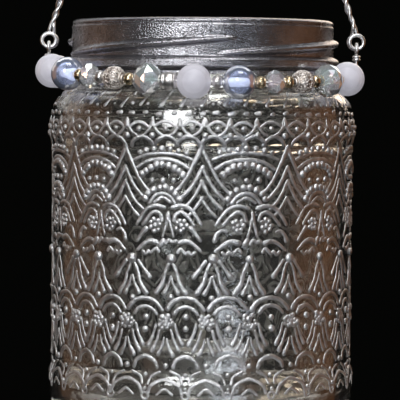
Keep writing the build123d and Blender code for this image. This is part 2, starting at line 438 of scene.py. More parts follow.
def glowing_white_bore():
    """The ground bore of an opalite bead, which its glass magnifies into a white band. Its emission is a painted
    glow for the light that reaches it through the glass.
    """
    material, shader = new_material("opalite_glowing_bore", (0.75, 0.76, 0.82), Roughness=0.7, Emission_Strength=0.5)
    shader.inputs["Emission Color"].default_value = (0.86, 0.87, 0.95, 1)
    marks = grain(material, 1500, 3.0, 0.6)
    drive(material, shader, "Base Color", marks, (0.3, (0.76, 0.77, 0.86)), (0.7, (0.95, 0.95, 0.98)))
    return material


def crystal():
    """Clear cut glass whose coating tints one facet blue and the next pink or white."""
    material, shader = new_material(
        "crystal_bead", (0.95, 0.94, 0.97), Roughness=0.0, IOR=1.56, Transmission_Weight=0.73,
        Thin_Film_Thickness=420.0, Thin_Film_IOR=1.75,
    )
    place_of = node(material, "ShaderNodeTexCoord")
    cells = node(material, "ShaderNodeTexVoronoi", {"Vector": place_of.outputs["Object"]}, Scale=360.0)
    tint = node(material, "ShaderNodeSeparateColor", {"Color": cells.outputs["Color"]})
    colour = ramp(
        material, tint.outputs["Red"], (0.0, (0.80, 0.90, 1.0)), (0.35, grey(1.0)), (0.6, (1.0, 0.86, 0.92)),
        (0.8, (0.84, 1.0, 0.98)), (1.0, grey(1.0)),
    )
    link(material, colour.outputs["Color"], shader.inputs["Base Color"])
    return material


GLASS = clear_glass()
NECK = neck_silver()
RELIEF = relief_silver()
WIRE = clouded(
    "wire_silver", (0.8, 0.8, 0.82), (900, 3.0, 0.6), ((0.3, (0.78, 0.78, 0.79)), (0.7, (0.92, 0.92, 0.92))),
    ((0.3, grey(0.3)), (0.75, grey(0.42))), (0.000015, 0.4), Metallic=1.0,
)
GOLD = plated("gold_plate", (0.45, 0.31, 0.16), (0.84, 0.67, 0.44), 0.22)
SILVER = plated("silver_plate", (0.48, 0.43, 0.41), (0.90, 0.87, 0.85), 0.32)
FILIGREE = plated("filigree_silver", (0.76, 0.69, 0.65), (1.0, 0.95, 0.91), 0.42)
# The ball inside each filigree cage is plated darker than the cage: painted shade for the hollow.
FILIGREE_SHADED_CORE = plated("filigree_hollow_shade", (0.24, 0.20, 0.18), (0.66, 0.59, 0.53), 0.4)
FROSTED = frosted()
OPALITE = opalite()
OPALITE_GLOWING_BORE = glowing_white_bore()
CRYSTAL = crystal()

# ---- the jar's glass
FOOT_HOLLOW_Z = 1.6
foot = [(r, FOOT_HOLLOW_Z) for r in (0.0, 10.0, 20.0, FOOT_R[0] - 1)] + [(FOOT_R[0], 0.0)]
jar_points = foot + wall_outline() + neck_outline()[1:] + inner_outline()[1:]
place(piece("jar_glass", turned(jar_points, JAR_SEGMENTS), GLASS), "jar", "clear_glass", "jar")

# ---- the painted neck
SKIN = 0.14
SKIN_STEP = 0.26
PAINT_FROM_Z = 103.3
RAGGED_TO_Z = 103.6


def lug_radius(azimuth, z):
    """How far out the thread lugs stand at a place on the neck."""
    best = 0.0
    for k in range(LUGS):
        share = ((degrees(azimuth) - LUG_START - 360 * k / LUGS) % 360) / LUG_ARC
        if share > 1:
            continue
        swell = sin(pi * share) ** 0.5
        half_width = LUG_HALF_WIDTH * (0.35 + 0.65 * swell)
        off = (z - LUG_Z - LUG_LEAD * share * LUG_ARC / 360) / half_width
        if abs(off) < 1:
            height = 0.1 + (LUG_H - 0.1) * swell + 0.2
            best = max(best, NECK_R - 0.2 + height * sqrt(1 - off * off))
    return best


def skin_shape(azimuth, r, z):
    """Puts the paint on the glass and over the lugs, with the unevenness of a brush."""
    if z < RAGGED_TO_Z:
        z += 0.5 * noise.noise(Vector((sin(azimuth) * 6, cos(azimuth) * 6, 1.0)))
    if z < LIP_Z - 0.4:
        r = max(r, lug_radius(azimuth, z))
    at = Vector((r * sin(azimuth), r * cos(azimuth), z))
    thick = SKIN + 0.05 * noise.noise(at * 0.55) + 0.03 * noise.noise(at * 1.7)
    if z > HEIGHT - 0.02:
        return r, z + thick
    return r + thick, z


def resampled(points, step):
    """The same outline with points no further apart than step."""
    out = [points[0]]
    for point in points[1:]:
        out += straight(out[-1], point, step)
    return out


skin_points = [(r, z) for r, z in resampled(neck_outline(), SKIN_STEP) if z > PAINT_FROM_Z]
place(piece("neck_paint", turned(skin_points, SKIN_SEGMENTS, skin_shape), NECK), "jar", "neck_paint")

# ---- relief painted on the glass
WALL_R, WALL_Z = np.array(wall_outline()).T
REF_R = 45.0  # the radius at which a motif's u is its length along the girth
STROKE_SIDES = 8
DOT_SIDES = 10
SINK = 0.12  # how deep the paint's underside is in the glass
FINENESS = 0.88  # scales every stroke's width
PUFF = 0.17  # height of a line as a share of its width
WOBBLE = 0.14  # how far a line's width wanders, as a share of it
DRIFT = 0.08  # how far a line wanders from its path
CAP = ((0.5, 0.12), (0.42, 0.55), (0.24, 0.87))  # a line's round end: reach and width as shares of its width
DROP = ((0.41, 0.21), (0.23, 0.29))  # a dot's upper rings: reach and height as shares of its size


def surface(u, z, turn):
    """Points and outward normals on the glass, u along the girth from the motif's azimuth in degrees."""
    a = radians(turn) + u / REF_R
    r = np.interp(z, WALL_Z, WALL_R)
    slope = (np.interp(z + 0.2, WALL_Z, WALL_R) - np.interp(z - 0.2, WALL_Z, WALL_R)) / 0.4
    out = np.stack([np.sin(a), -np.cos(a), np.zeros_like(a)], 1)
    points = out * r[:, None]
    points[:, 2] = z
    return points, unit(out - np.array([0, 0, 1]) * slope[:, None])


class Paint(Heap):
    """Strokes and dots of thick paint. Places are (u, z) about the motif's middle."""

    def stroke(self, points, widths, turn, stretch=1.0, wander=0.1):
        """A line of paint through the points and, evenly, the widths. stretch lengthens it along the girth."""
        shift = np.array([dice.gauss(0, wander), dice.gauss(0, wander)])
        path = smooth_path(np.array(points, float) * (stretch, 1) + shift, 0.5)
        along = np.linspace(0, 1, len(path))
        width = FINENESS * np.interp(along, np.linspace(0, 1, len(widths)), widths) * dice.uniform(0.92, 1.1)
        seed = dice.uniform(0, 50)
        wobble = np.array([noise.noise(Vector((seed, 2.5 * t * len(path) / 10, 0))) for t in along])
        width = width * (1 + WOBBLE * wobble)
        path = path + DRIFT * np.stack([wobble, -wobble], 1)
        start_way = path[0] - path[1]
        end_way = path[-1] - path[-2]
        start_way /= np.linalg.norm(start_way) + 1e-9
        end_way /= np.linalg.norm(end_way) + 1e-9
        head = [path[0] + start_way * width[0] * reach for reach, _ in CAP]
        tail = [path[-1] + end_way * width[-1] * reach for reach, _ in CAP[::-1]]
        full = np.vstack([head, path, tail])
        tips = np.array([share for _, share in CAP])
        scale = np.concatenate([tips * width[0], width, tips[::-1] * width[-1]])
        points3, normals = surface(full[:, 0], full[:, 1], turn)
        ahead = np.gradient(points3, axis=0)
        ahead /= np.linalg.norm(ahead, axis=1)[:, None] + 1e-12
        side = np.cross(ahead, normals)
        angle = tau * np.arange(STROKE_SIDES) / STROKE_SIDES
        high = np.maximum(np.sin(angle), 0) ** 0.5
        low = np.minimum(np.sin(angle), 0)
        across = np.sign(np.cos(angle)) * np.abs(np.cos(angle)) ** 0.6
        ring = points3[:, None] + side[:, None] * (across * scale[:, None] / 2)[..., None]
        ring = ring + normals[:, None] * (high * scale[:, None] * PUFF + low * SINK)[..., None]
        faces = []
        corners = range(STROKE_SIDES)
        last = (len(full) - 1) * STROKE_SIDES
        for a in range(0, last, STROKE_SIDES):
            b = a + STROKE_SIDES
            faces += [[a + j, b + j, b + (j + 1) % STROKE_SIDES, a + (j + 1) % STROKE_SIDES] for j in corners]
        faces.append(list(corners))
        faces.append([last + j for j in corners][::-1])
        self.add(ring.reshape(-1, 3), faces)

    def dot(self, u, z, size, turn, stretch=1.0, wander=0.1):
        """A round drop of paint."""
        u = u * stretch + dice.gauss(0, wander)
        z += dice.gauss(0, wander)
        size *= dice.uniform(0.88, 1.12)
        centre, normal = surface(np.array([u]), np.array([z]), turn)
        centre, normal = centre[0], normal[0]
        east = unit(np.cross((0, 0, 1), normal))
        north = np.cross(normal, east)
        rings = [(0.5, -SINK), (0.5, 0.08 * size)] + [(reach, height * size) for reach, height in DROP]
        verts = []
        for reach, height in rings:
            for j in range(DOT_SIDES):
                t = tau * j / DOT_SIDES
                verts.append(centre + (east * cos(t) + north * sin(t)) * reach * size + normal * height)
        verts.append(centre + normal * 0.32 * size)
        verts.append(centre - normal * SINK)
        top = len(rings) * DOT_SIDES
        faces = []
        for low in range(0, top - DOT_SIDES, DOT_SIDES):
            faces += band(low, low + DOT_SIDES, DOT_SIDES)
        highest = top - DOT_SIDES
        faces += [[highest + j, highest + (j + 1) % DOT_SIDES, top] for j in range(DOT_SIDES)]
        faces += [[(j + 1) % DOT_SIDES, j, top + 1] for j in range(DOT_SIDES)]
        self.add(verts, faces)

    def both(self, points, widths, turn, stretch=1.0):
        """A stroke and its mirror image about the motif's middle."""
        for sign in (1, -1):
            self.stroke([(sign * u, z) for u, z in points], widths, turn, stretch)

    def arch(self, half, widths, turn, stretch=1.0):
        """One stroke over the motif's middle, of which the half from the middle is given."""
        self.stroke([(-u, z) for u, z in half[:0:-1]] + half, widths, turn, stretch)

    def pairs(self, places, size, turn, stretch=1.0):
        """Dots at u and -u, or one dot where u is 0."""
        for u, z in places:
            for sign in (1, -1) if u else (1,):
                self.dot(sign * u, z, size, turn, stretch)


def round_jar(seen, count):
    """The azimuths in degrees of a row's repeats: those seen in front, and the rest spaced evenly."""
    hidden = count - len(seen)
    gap = seen[0] + 360 - seen[-1]
    return list(seen) + [seen[-1] + gap * (k + 1) / (hidden + 1) for k in range(hidden)]


def between(azimuths):
    """The azimuths midway between neighbours in a row, each with its gap over the row's mean gap."""
    gaps = []
    for here, there in zip(azimuths, azimuths[1:] + [azimuths[0] + 360]):
        gaps.append(((here + there) / 2, (there - here) * len(azimuths) / 360))
    return gaps


CHEVRONS_AT = round_jar([-56, -29, 0, 33, 64], 12)
SPIKES_AT = round_jar([-56, -46, -37, -28, -18, -8, 1, 10, 20, 31, 42, 53], 37)
ARCS_AT = round_jar([-50, -41, -33, -22, -13, -5, 4, 12, 19, 27, 39, 48, 58], 40)
STEMS_AT = round_jar([-54, -41, -26, -11, 4, 18, 34, 50, 65], 24)
BERRIES_AT = round_jar([-54, -41, -28, -13, 2, 18, 35, 50, 65], 24)
ROSETTE_SHIFT = 2.3
COMMAS = 46
BLOBS = 68
CLUSTER_DOTS = 15

# Strokes as their points, from a motif's middle, and their widths.
CHEVRON_LEGS = (
    ([(0, 82.2), (0.7, 80.7), (2.4, 77.3), (4.6, 73.1), (6.6, 70.5), (8.2, 69.2)], (1.75, 1.15, 1.1)),
    ([(0, 76.4), (0.9, 74.8), (1.9, 72.8), (3.3, 70.6), (5.0, 68.7), (6.7, 67.1)], (1.3, 1.2, 1.2)),
    ([(0, 72.3), (0.7, 71.0), (1.5, 69.5), (2.8, 67.4), (4.3, 65.8), (5.7, 64.6)], (1.3, 1.15, 1.1)),
    ([(0, 67.8), (0.8, 66.7), (1.7, 65.4), (3.0, 63.7), (4.3, 62.5)], (1.2, 1.0, 1.0)),
)
DRIP = ([(6.9, 59.0), (8.0, 57.8), (9.6, 55.6)], (1.8, 1.2, 1.0))
HOOK = ([(7.0, 58.1), (8.2, 58.5), (9.6, 57.2), (10.0, 55.6)], (0.95, 1.3, 1.6))
BROW = ([(3.6, 54.9), (5.4, 55.3), (7.2, 54.7), (9.6, 52.7)], (2.0, 1.5, 1.1))
WIGGLE = (
    [(3.0, 52.3), (3.7, 53.2), (4.7, 52.5), (5.4, 51.8), (6.2, 52.4), (7.0, 51.5), (7.9, 52.2)],
    (1.15, 1.1, 1.15),
)


def shoulder_row(paint):
    """Two rows of short commas on the shoulder and a row of flat blobs under them."""
    for k in range(COMMAS):
        turn = 1.0 + 360 * k / COMMAS
        paint.stroke([(0.9, 96.2), (0.2, 95.1), (-0.6, 94.0)], (0.5, 0.8, 1.4), turn, wander=0.2)
        paint.stroke([(2.5, 98.1), (2.0, 97.2)], (0.5, 0.9), turn, wander=0.3)
        paint.dot(2.4, 94.5, dice.uniform(0.7, 1.2), turn, wander=0.3)
    for k in range(BLOBS):
        half = dice.uniform(0.2, 0.65)
        paint.stroke([(-half, 91.6), (half, 91.7)], (1.2, 1.5), 360 * k / BLOBS, wander=0.2)


def spike_row(paint):
    """Spikes with a drop under each, almond eyes between them, and scallops below."""
    for turn in SPIKES_AT:
        paint.both([(0.15, 89.6), (0.75, 87.8), (1.9, 86.2), (3.1, 85.5)], (1.3, 0.95, 0.9), turn)
        paint.stroke([(0, 90.2), (0, 88.4)], (0.9, 1.6), turn)
        paint.dot(0, 85.5, 1.8, turn)
    for turn, stretch in between(SPIKES_AT):
        paint.arch([(0, 89.35), (1.4, 89.0), (2.8, 88.0)], (0.9, 1.1, 0.9), turn, stretch)
        paint.dot(0, 87.4, 1.6, turn)
    for turn in ARCS_AT:
        paint.arch([(0, 85.2), (2.4, 84.1), (3.3, 82.7)], (1.4, 1.25, 1.4), turn)


def chevrons(paint):
    """Four nested chevrons whose legs sweep outwards."""
    for turn in CHEVRONS_AT:
        for points, widths in CHEVRON_LEGS:
            paint.both(points, widths, turn)


def fans(paint):
    """The fan of arcs and beads between two chevrons."""
    for turn, stretch in between(CHEVRONS_AT):
        paint.pairs([(0, 81.7), (2.5, 81.6), (4.9, 81.2), (7.2, 80.5)], 1.75, turn, stretch)
        paint.arch([(0, 80.5), (3.4, 80.3), (6.4, 79.7), (8.9, 78.7)], (1.0, 1.15, 1.0), turn, stretch)
        paint.arch([(0, 78.7), (2.8, 78.5), (5.6, 77.6), (8.0, 76.1)], (1.1, 1.25, 1.1), turn, stretch)
        paint.pairs([(0, 77.2), (1.8, 77.0), (3.5, 76.4), (5.0, 75.5), (6.2, 74.3)], 2.2, turn, stretch)
        paint.pairs([(0, 72.8), (3.3, 72.7)], 1.65, turn, stretch)
        paint.pairs([(0.9, 70.6), (2.7, 70.1), (4.2, 68.9), (5.2, 67.4)], 2.05, turn, stretch)
        paint.arch([(0, 69.1), (2.4, 68.2), (3.9, 66.3)], (1.2, 1.35, 1.2), turn, stretch)
        paint.arch([(0, 67.7), (2.4, 66.4)], (1.0, 1.15, 1.0), turn, stretch)


def rosettes(paint):
    """A narrow spike between two rosettes, each under two arches, and loose strokes below."""
    for turn, stretch in between(CHEVRONS_AT):
        turn += ROSETTE_SHIFT
        paint.both([(0.1, 63.2), (0.6, 60.3), (1.5, 56.9)], (1.15, 0.95, 0.9), turn)
        paint.stroke([(0, 63.4), (0, 61.2)], (1.0, 1.5), turn)
        arch = [(1.4, 64.9), (4.0, 65.5), (6.6, 64.6), (8.4, 62.5), (9.9, 60.1)]
        paint.both(arch, (1.5, 1.3, 1.15), turn, stretch)
        inner_arch = [(1.8, 61.5), (2.3, 63.0), (3.8, 63.8), (5.4, 63.0), (6.8, 61.4), (7.8, 60.1)]
        paint.both(inner_arch, (1.4, 1.25, 1.1), turn, stretch)
        for sign in (1, -1):
            middle = sign * 4.0
            paint.dot(middle, 60.0, 1.45, turn, stretch, 0.05)
            for k in range(7):
                t = tau * k / 7
                petal = middle + 1.35 * cos(t)
                paint.dot(petal, 60.0 + 1.5 * sin(t), 1.4, turn, stretch, 0.15)
            loose = DRIP if dice.random() < 0.5 else HOOK
            for points, widths in (loose, BROW, WIGGLE):
                paint.stroke([(sign * u, z) for u, z in points], widths, turn, stretch)
        paint.stroke([(-2.3, 54.3), (-1.5, 55.6)], (1.9, 1.7), turn)
        paint.stroke([(-0.6, 54.6), (0.2, 55.7), (1.2, 55.1), (2.3, 55.4)], (1.3, 1.2, 1.4), turn)


def stems(paint):
    """Balls on splayed legs, every other one with a drop at each side, over double arcs."""
    for k, turn in enumerate(STEMS_AT):
        paint.dot(0, 50.5, 2.7, turn)
        paint.both([(0.7, 49.0), (1.7, 46.8), (2.5, 43.6), (4.3, 40.8)], (1.1, 1.25, 1.85), turn)
        paint.both([(0.1, 45.4), (0.7, 43.2), (2.0, 40.6)], (0.75, 1.0, 1.75), turn)
        paint.dot(0, 39.4, 1.9, turn)
        if k % 2 == 0:
            paint.both([(2.0, 49.6), (3.2, 48.0), (5.2, 45.3)], (1.4, 1.1, 1.8), turn)
    for turn, stretch in between(BERRIES_AT):
        outer = [(-5.2, 36.2), (-4.0, 37.9), (-2.1, 39.0), (0, 39.3), (2.3, 38.8), (4.1, 37.3), (5.1, 36.0)]
        paint.stroke(outer, (1.8, 1.35, 1.2), turn, stretch)
        under = [(-3.3, 35.0), (-2.2, 36.3), (0, 36.9), (2.1, 36.1), (3.3, 34.8)]
        paint.stroke(under, (1.5, 1.3, 1.05), turn, stretch)


def berries(paint):
    """Crusty clusters with a fringe of clubs hanging from them."""
    for turn in BERRIES_AT:
        for k in range(CLUSTER_DOTS):
            reach = 2.1 * sqrt(k / CLUSTER_DOTS)
            around = 2.4 * k
            size = dice.uniform(1.1, 1.75)
            paint.dot(1.1 * reach * cos(around), 32.4 + reach * sin(around), size, turn, wander=0.2)
        paint.both([(2.8, 31.7), (3.6, 28.8), (5.0, 26.0)], (1.0, 1.0, 1.6), turn)
        paint.both([(1.7, 29.9), (2.5, 26.9), (3.9, 24.2)], (0.9, 1.0, 1.6), turn)
        paint.both([(0.4, 27.7), (0.9, 25.6), (2.1, 23.2)], (0.7, 1.05, 1.7), turn)
    for turn, _ in between(BERRIES_AT):
        paint.dot(0, 33.7, 1.9, turn)
        paint.dot(0, 30.4, 1.9, turn)


def scallops(paint):
    """Arches and scallops down to the heel."""
    for turn, stretch in between(BERRIES_AT):
        arch = [(-3.5, 19.6), (-2.7, 21.5), (0, 22.7), (2.7, 21.4), (3.6, 19.7)]
        paint.stroke(arch, (1.4, 1.55, 1.4), turn, stretch)
        paint.dot(0, 17.4, 1.3, turn)
        paint.both([(0.9, 14.9), (1.7, 16.9), (4.2, 18.2)], (0.95, 1.05, 0.9), turn)
        hoop = [(1.0 * cos(t), 11.4 + 1.0 * sin(t)) for t in np.linspace(0, tau, 9)]
        paint.stroke(hoop, (0.8, 0.8), turn, wander=0.05)
        paint.dot(0, 13.4, 1.2, turn)
    for turn in BERRIES_AT:
        paint.dot(0, 19.9, 1.6, turn)
        paint.arch([(0, 16.0), (3.8, 14.4), (5.0, 11.9)], (1.1, 1.25, 1.1), turn)
        paint.arch([(0, 13.2), (2.2, 11.7)], (0.9, 1.0, 0.9), turn)


RELIEF_ROWS = {
    "relief_shoulder": (shoulder_row,),
    "relief_spikes": (spike_row,),
    "relief_chevrons": (chevrons, fans),
    "relief_rosettes": (rosettes,),
    "relief_stems": (stems,),
    "relief_berries": (berries,),
    "relief_scallops": (scallops,),
}
for name, rows in RELIEF_ROWS.items():
    paint = Paint()
    for row in rows:
        row(paint)
    place(piece(name, paint.mesh(), RELIEF), "jar", "relief_paint")

# ---- beads on the strand
STRAND_Z = 103.9
STRAND_R = 46.2
DIP = 3.2
LEAN = 0.8


def bead_places(kind):
    """For each bead of a kind: its node, its middle and its across, outward and along directions."""
    places = []
    for name in sorted(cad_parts):
        side, _, rest = name.partition("_")
        if side not in ("front", "back") or not rest.startswith(kind + "_"):
            continue
        low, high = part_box(name)
        middle = np.array((low + high) / 2) / MM
        mirror = np.array([1, 1 if side == "front" else -1, 1])
        normal = unit(np.array([LEAN / STRAND_R, -DIP / STRAND_R, 1.0]) * mirror)
        outward = middle - np.array([0, 0, STRAND_Z])
        outward = unit(outward - normal * outward.dot(normal))
        places.append((name, middle, normal, outward, np.cross(normal, outward)))
    return places


def string_beads(kind, slot, material, mesh, smooth=True, name=None, replacing=True):
    """One piece made of every bead of a kind. The mesh's Z is the wire. Each bead is turned on it by chance."""
    verts, faces = np.asarray(mesh[0], float), mesh[1]
    heap = Heap()
    nodes = []
    for node_name, middle, across, outward, along in bead_places(kind):
        t = dice.uniform(0, tau)
        x = verts[:, 0] * cos(t) - verts[:, 1] * sin(t)
        y = verts[:, 0] * sin(t) + verts[:, 1] * cos(t)
        heap.add(middle + np.outer(x, outward) + np.outer(y, across) + np.outer(verts[:, 2], along), faces)
        nodes.append(node_name)
    obj = piece(name or kind + "s", heap.mesh(), material, smooth)
    place(obj, "collar", slot, *(nodes if replacing else ()))


def ring_of(outline, segments, flutes=0, depth=0.0):
    """A closed outline of (r, z) turned about Z, its outside fluted if asked."""
    widest = max(r for r, _ in outline)
    verts = []
    for r, z in outline:
        for s in range(segments):
            a = tau * s / segments
            share = max(0.0, (r / widest - 0.5) * 2) if flutes else 0.0
            rr = r * (1 - depth * share * (0.5 + 0.5 * cos(flutes * a)))
            verts.append((rr * cos(a), rr * sin(a), z))
    faces = []
    for i in range(len(outline)):
        faces += band(i * segments, (i + 1) % len(outline) * segments, segments)
    return verts, faces


OVAL_STEPS = 26
BORE_POINTS = 6


def oval(radius, half, hole, power=1.0):
    """The outline of a bead: an ellipse with a hole along Z whose rims are eased."""
    start = acos(min(1, (hole + 0.15) / radius))
    outline = []
    for i in range(OVAL_STEPS + 1):
        t = -start + 2 * start * i / OVAL_STEPS
        outline.append((radius * cos(t), half * copysign(abs(sin(t)) ** power, sin(t))))
    end = outline[-1][1]
    for i in range(BORE_POINTS):
        outline.append((hole, end - 0.12 - (2 * end - 0.24) * i / (BORE_POINTS - 1)))
    return outline


def facet_bead(diameter, length, hole, sides):
    """A rondelle: rings of corners, each turned by half a facet from the last."""
    r = diameter / 2
    rings = (
        (hole, -0.47, 0), (0.40 * r, -0.5, 0), (0.79 * r, -0.31, 1), (r, -0.07, 0),
        (r, 0.07, 1), (0.79 * r, 0.31, 0), (0.40 * r, 0.5, 1), (hole, 0.47, 1),
    )
    verts = []
    for radius, z, half in rings:
        for s in range(sides):
            a = tau * (s + 0.5 * half) / sides
            verts.append((radius * cos(a), radius * sin(a), z * length))
    faces = []
    for i in range(len(rings)):
        j = (i + 1) % len(rings)
        low, high = i * sides, j * sides
        shift = rings[j][2] - rings[i][2]
        if shift == 0:
            faces += band(low, high, sides)
            continue
        for s in range(sides):
            t = (s + 1) % sides
            if shift == 1:
                faces += [[low + s, low + t, high + s], [high + s, low + t, high + t]]
            else:
                faces += [[low + s, high + t, high + s], [low + t, high + t, low + s]]
    return verts, faces


def ball(middle, radius, sides=6):
    """A small sphere."""
    verts = [(0, 0, -1)]
    rows = sides // 2
    for i in range(1, rows):
        t = -pi / 2 + pi * i / rows
        for s in range(sides):
            a = tau * s / sides
            verts.append((cos(t) * cos(a), cos(t) * sin(a), sin(t)))
    verts.append((0, 0, 1))
    faces = [[0, 1 + (s + 1) % sides, 1 + s] for s in range(sides)]
    for i in range(rows - 2):
        faces += band(1 + i * sides, 1 + (i + 1) * sides, sides)
    top = len(verts) - 1
    a = 1 + (rows - 2) * sides
    faces += [[a + s, a + (s + 1) % sides, top] for s in range(sides)]
    return np.asarray(middle) + radius * np.array(verts), faces


FILIGREE_R = 3.7
FILIGREE_HALF = 3.3
SCROLLS = 8
BORE_R = 0.75


def on_bead(angle, z, lift=0.0):
    """A point on the filigree bead's surface, less the thickness of its wires."""
    r = (FILIGREE_R - 0.45) * sqrt(max(0.0, 1 - (z / FILIGREE_HALF) ** 2)) + lift
    return np.array([r * cos(angle), r * sin(angle), z])


def filigree_cage():
    """Scrolls of wire with granules between, and a ring at each end."""
    heap = Heap()
    for k in range(SCROLLS):
        base = tau * k / SCROLLS
        beside = base + pi / SCROLLS
        for end in (-1, 1):
            spiral = []
            for i in range(13):
                t = i / 12
                reach = 0.22 + 0.75 * t
                turn = 2.5 * pi * t + (0 if end > 0 else pi)
                angle = base + reach * cos(turn) / FILIGREE_R * 1.05
                spiral.append(on_bead(angle, end * 1.15 + reach * sin(turn)))
            heap.add(*tube(spiral, 0.17, 5))
            petal = [
                on_bead(beside + 0.16 * sin(t), end * (1.45 - 0.75 * cos(t)))
                for t in np.linspace(0, tau, 9)
            ]
            heap.add(*tube(petal, 0.13, 5))
            heap.add(*ball(on_bead(base, end * 1.15, 0.08), 0.24))
            heap.add(*ball(on_bead(beside, end * 2.45, 0.05), 0.22))
            heap.add(*ball(on_bead(base, end * 2.3, 0.05), 0.2))
        heap.add(*ball(on_bead(base, 0, 0.05), 0.24))
        heap.add(*ball(on_bead(beside, 0, 0.05), 0.2))
    for end in (-1, 1):
        hoop = [on_bead(tau * i / 24, end * 2.75) for i in range(24)]
        heap.add(*tube(hoop, 0.22, 6, closed=True))
        around = [tau * i / 18 for i in range(18)]
        hoop = [(1.0 * cos(t), 1.0 * sin(t), end * 3.05) for t in around]
        heap.add(*tube(hoop, 0.25, 6, closed=True))
    return heap.mesh()


def barrel():
    """A smooth barrel with a raised rim at each end."""
    half = [
        (0.55, -1.9), (0.8, -2.0), (2.0, -2.0), (2.3, -1.9), (2.4, -1.65), (2.3, -1.4), (2.15, -1.3),
        (2.35, -0.9), (2.48, -0.4),
    ]
    return ring_of(half + [(2.5, 0.0)] + [(r, -z) for r, z in half[::-1]], 36)


string_beads("frosted_bead", "frosted_glass", FROSTED, ring_of(oval(5.0, 4.9, BORE_R), 48))
string_beads("opalite_bead", "opalite_glass", OPALITE, ring_of(oval(4.9, 4.7, BORE_R), 48))
# White bores inside the opalite beads, with a painted glow.
bore = ring_of([(0.74, -4.5), (1.9, -4.0), (2.0, 4.0), (0.74, 4.5)], 24)
string_beads("opalite_bead", "opalite_glass", OPALITE_GLOWING_BORE, bore, name="opalite_bores", replacing=False)
string_beads("large_crystal", "crystal_glass", CRYSTAL, facet_bead(9.6, 8.2, BORE_R, 10), smooth=False)
string_beads("small_crystal", "crystal_glass", CRYSTAL, facet_bead(7.3, 5.6, 0.6, 8), smooth=False)
string_beads("filigree_bead", "filigree_metal", FILIGREE, filigree_cage())
# A darker ball inside each cage, as painted shade in its hollow.
core = ring_of(oval(3.15, 2.95, 0.65), 24)
string_beads("filigree_bead", "filigree_metal", FILIGREE_SHADED_CORE, core, name="filigree_shaded_cores", replacing=False)
string_beads("silver_barrel", "silver_metal", SILVER, barrel())
string_beads("silver_spacer", "silver_metal", SILVER, ring_of(oval(1.9, 1.45, 0.5, 0.8), 60, 12, 0.04))
string_beads("gold_spacer", "gold_metal", GOLD, ring_of(oval(1.8, 1.5, 0.5, 0.85), 60, 10, 0.05))


# ---- wires
def repaint(name, material):
    """Gives a CAD node's mesh a material from this script."""
    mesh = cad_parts[name].data
    mesh.materials.clear()
    mesh.materials.append(material)
    return mesh


for name in ("front_wire", "back_wire"):
    wire_mesh = repaint(name, WIRE)
    wire_mesh.polygons.foreach_set("use_smooth", [True] * len(wire_mesh.polygons))

EYE_X = 46.25
RING_MID_Z = 113.1
RING_MEAN_R = 2.1
HANDLE_WIRE_R = 0.5
HANDLE_LEAN = radians(17)
HANDLE_TOP_R = 20.0
TWIST_R = 0.52
TWIST_PITCH = 7.8
RING_WIRE_R = 0.55
MIDLINE_STEP = 0.55


def handle_midline():
    """Points from the right leg's foot round to the left's, midway between the two wires, and normals."""
    foot = np.array([EYE_X - TWIST_R * cos(HANDLE_LEAN), RING_MID_Z + RING_MEAN_R + 0.45])
    top_r = HANDLE_TOP_R - TWIST_R
    top_x = top_r * cos(HANDLE_LEAN)
    rise = (foot[0] - top_x) / tan(HANDLE_LEAN)
    centre_z = foot[1] + rise - top_r * sin(HANDLE_LEAN)
    leg_steps = int(hypot(foot[0] - top_x, rise) / MIDLINE_STEP)
    points = []
    for i in range(leg_steps):
        share = i / leg_steps
        points.append((foot[0] - (foot[0] - top_x) * share, foot[1] + rise * share))
    arc = pi - 2 * HANDLE_LEAN
    arc_steps = int(top_r * arc / MIDLINE_STEP)
    for i in range(arc_steps + 1):
        t = HANDLE_LEAN + arc * i / arc_steps
        points.append((top_r * cos(t), centre_z + top_r * sin(t)))
    points += [(-x, z) for x, z in points[:leg_steps][::-1]]
    points = np.array(points)
    ahead = unit(np.gradient(points, axis=0))
    return points, np.stack([ahead[:, 1], -ahead[:, 0]], 1)


def handle_strands():
    """The handle's two twisted wires. One runs into the rings at the feet, the other hooks round them."""
    points, normals = handle_midline()
    steps = np.concatenate([[0], np.cumsum(np.linalg.norm(np.diff(points, axis=0), axis=1))])
    total = steps[-1]
    from_end = np.minimum(steps, total - steps)
    ease = np.clip((from_end - 1.0) / 6.0, 0, 1)
    ease = ease * ease * (3 - 2 * ease)
    wander = np.array([noise.noise(Vector((s * 0.03, 3.0, 0))) for s in steps])
    phase = tau * (steps + 1.6 * wander) / TWIST_PITCH
    strands = []
    for extra, hold in ((0.0, ease), (pi, np.ones_like(ease))):
        sideways = TWIST_R * hold * np.cos(phase + extra) + TWIST_R * (1 - hold)
        forward = TWIST_R * hold * np.sin(phase + extra)
        x, z = points.T + normals.T * sideways
        strands.append(np.stack([x, forward, z], 1))
    main, partner = strands
    partner = partner[from_end > 1.4]
    ends = []
    for sign, first in ((1, partner[0]), (-1, partner[-1])):
        ring = np.array([sign * EYE_X, 0, RING_MID_Z])
        hook = [first]
        for t in np.linspace(0.15, 1.0, 9):
            a = radians(70 - 150 * t) if sign < 0 else radians(110 + 150 * t)
            reach = RING_MEAN_R + 0.35 * sin(pi * t)
            depth = sin(pi * min(1.0, 0.35 + t * 0.65))
            hook.append(ring + np.array([reach * cos(a), depth, reach * sin(a)]))
        ends.append(smooth_path(hook, 0.4))
    return main, np.vstack([ends[0][::-1], partner[1:-1], ends[1]])


main_strand, partner_strand = handle_strands()
outer = Heap()
outer.add(*tube(main_strand, HANDLE_WIRE_R, 12))
for side in (1, -1):
    hoop = [
        (side * EYE_X + RING_MEAN_R * sin(t), 0, RING_MID_Z + RING_MEAN_R * cos(t))
        for t in np.linspace(0, tau, 48, endpoint=False)
    ]
    outer.add(*tube(hoop, RING_WIRE_R, 12, closed=True, up=(0, 1, 0)))
place(piece("handle_wire_ringed", outer.mesh(), WIRE), "handle", "silver_wire", "outer_handle_wire")
hooked = piece("handle_wire_hooked", tube(partner_strand, HANDLE_WIRE_R, 12), WIRE)
place(hooked, "handle", "silver_wire", "inner_handle_wire")

